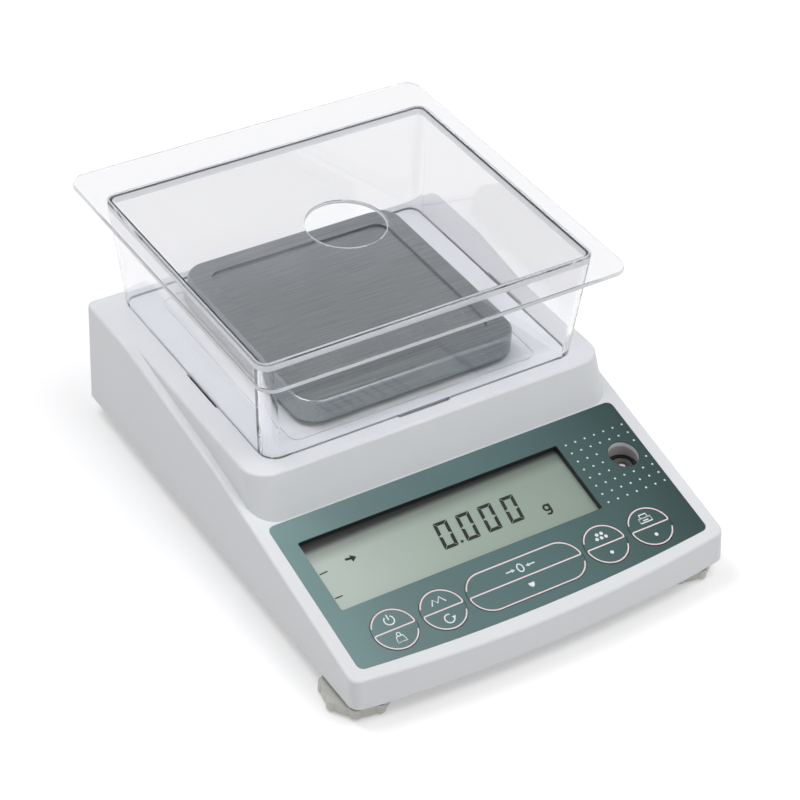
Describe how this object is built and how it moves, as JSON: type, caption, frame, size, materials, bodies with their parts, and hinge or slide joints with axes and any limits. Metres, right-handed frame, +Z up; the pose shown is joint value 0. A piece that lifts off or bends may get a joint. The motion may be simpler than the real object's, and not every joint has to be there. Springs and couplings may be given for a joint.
{
  "type": "precision balance",
  "caption": "Laboratory precision balance: wedge-shaped case with a display panel and keys, square steel weighing pan under a clear draft shield with a lid, and screw feet.",
  "frame": {"origin": "on the table under the middle of the balance's overall length and width", "axes": "+Z up, the operator stands at -Y in front of the panel, +X to the operator's right"},
  "size_m": [0.2018, 0.2706, 0.1172],
  "materials": {
    "case_plastic": "fine matt",
    "tray_plastic": "fine matt",
    "overlay_film": "satin film",
    "key_film": "satin film",
    "black_plastic": "matt",
    "display_glass": "smooth",
    "backlight_plastic": "matt",
    "circuit_board": "satin",
    "screw_steel": "satin",
    "dome_steel": "satin",
    "cup_plastic": "matt",
    "vial_glass": "smooth",
    "pan_steel": "brushed",
    "buffer_rubber": "matt",
    "carrier_aluminium": "satin",
    "cell_aluminium": "milled",
    "magnet_iron": "plated",
    "coil_copper": "enamelled",
    "chip_plastic": "matt",
    "cable_plastic": "satin",
    "port_steel": "plated",
    "clear_plastic": "clear",
    "foot_plastic": "matt",
    "foot_rubber": "matt",
    "insert_brass": "turned"
  },
  "bodies": {
    "case": {"upper_case": "case_plastic", "base_tray": "tray_plastic", "case_screws": "screw_steel", "panel_overlay": "overlay_film", "display_bezel": "black_plastic", "lcd_glass": "display_glass", "lcd_backlight": "backlight_plastic", "display_board": "circuit_board", "display_screws": "screw_steel", "key_domes": "dome_steel", "level_cup": "cup_plastic", "level_ring": "black_plastic", "level_vial": "vial_glass", "load_cell_block": "cell_aluminium", "cell_plate": "cell_aluminium", "cell_screws": "screw_steel", "magnet_pot": "magnet_iron", "cell_coil": "coil_copper", "lever_arm": "carrier_aluminium", "position_sensor": "black_plastic", "main_board": "circuit_board", "main_screws": "screw_steel", "board_components": "chip_plastic", "dc_jack": "black_plastic", "data_port": "port_steel", "port_screwlocks": "screw_steel", "display_cable": "cable_plastic", "cable_plugs": "black_plastic", "foot_inserts": "insert_brass", "rear_feet": "foot_rubber"},
    "pan_carrier": {"pan_carrier": "carrier_aluminium", "pan_buffers": "buffer_rubber"},
    "pan": {"weighing_pan": "pan_steel"},
    "shield": {"draft_shield": "clear_plastic"},
    "lid": {"shield_lid": "clear_plastic"},
    "power_key": {"power_key": "key_film"},
    "mode_key": {"mode_key": "key_film"},
    "tare_key": {"tare_key": "key_film"},
    "count_key": {"count_key": "key_film"},
    "print_key": {"print_key": "key_film"},
    "left_foot_pad": {"left_foot_pad": "foot_rubber"},
    "left_foot_knob": {"left_foot_knob": "foot_plastic"},
    "right_foot_pad": {"right_foot_pad": "foot_rubber"},
    "right_foot_knob": {"right_foot_knob": "foot_plastic"}
  },
  "joints": [
    {"name": "carrier_press", "type": "slide", "parent": "case", "child": "pan_carrier", "axis": [0, 0, -1], "range_m": [0, 0.0004], "stiffness_N_per_m": 10000, "springref_m": -0.0004},
    {"name": "pan_lift", "type": "slide", "parent": "pan_carrier", "child": "pan", "axis": [0, 0, 1], "range_m": [0, 0.025]},
    {"name": "shield_lift", "type": "slide", "parent": "case", "child": "shield", "axis": [0, 0, 1], "range_m": [0, 0.08]},
    {"name": "lid_lift", "type": "slide", "parent": "shield", "child": "lid", "axis": [0, 0, 1], "range_m": [0, 0.06]},
    {"name": "power_key_press", "type": "slide", "parent": "case", "child": "power_key", "axis": [0, 0.2261, -0.9741], "range_m": [0, 0.0004], "stiffness_N_per_m": 3000, "springref_m": -0.0001},
    {"name": "mode_key_press", "type": "slide", "parent": "case", "child": "mode_key", "axis": [0, 0.2261, -0.9741], "range_m": [0, 0.0004], "stiffness_N_per_m": 3000, "springref_m": -0.0001},
    {"name": "tare_key_press", "type": "slide", "parent": "case", "child": "tare_key", "axis": [0, 0.2261, -0.9741], "range_m": [0, 0.0004], "stiffness_N_per_m": 3000, "springref_m": -0.0001},
    {"name": "count_key_press", "type": "slide", "parent": "case", "child": "count_key", "axis": [0, 0.2261, -0.9741], "range_m": [0, 0.0004], "stiffness_N_per_m": 3000, "springref_m": -0.0001},
    {"name": "print_key_press", "type": "slide", "parent": "case", "child": "print_key", "axis": [0, 0.2261, -0.9741], "range_m": [0, 0.0004], "stiffness_N_per_m": 3000, "springref_m": -0.0001},
    {"name": "left_foot_extend", "type": "slide", "parent": "case", "child": "left_foot_pad", "axis": [0, 0, -1], "range_m": [0, 0.004]},
    {"name": "left_knob_turn", "type": "hinge", "parent": "left_foot_pad", "child": "left_foot_knob", "pos_m": [-0.0845, -0.112, 0.0036], "axis": [0, 0, -1], "range_deg": [0, 1440]},
    {"name": "right_foot_extend", "type": "slide", "parent": "case", "child": "right_foot_pad", "axis": [0, 0, -1], "range_m": [0, 0.004]},
    {"name": "right_knob_turn", "type": "hinge", "parent": "right_foot_pad", "child": "right_foot_knob", "pos_m": [0.0845, -0.112, 0.0036], "axis": [0, 0, -1], "range_deg": [0, 1440]}
  ],
  "couplings": [
    {"joint": "left_foot_extend", "follows": "left_knob_turn", "m_per_rad": 0.00015915},
    {"joint": "right_foot_extend", "follows": "right_knob_turn", "m_per_rad": 0.00015915}
  ]
}
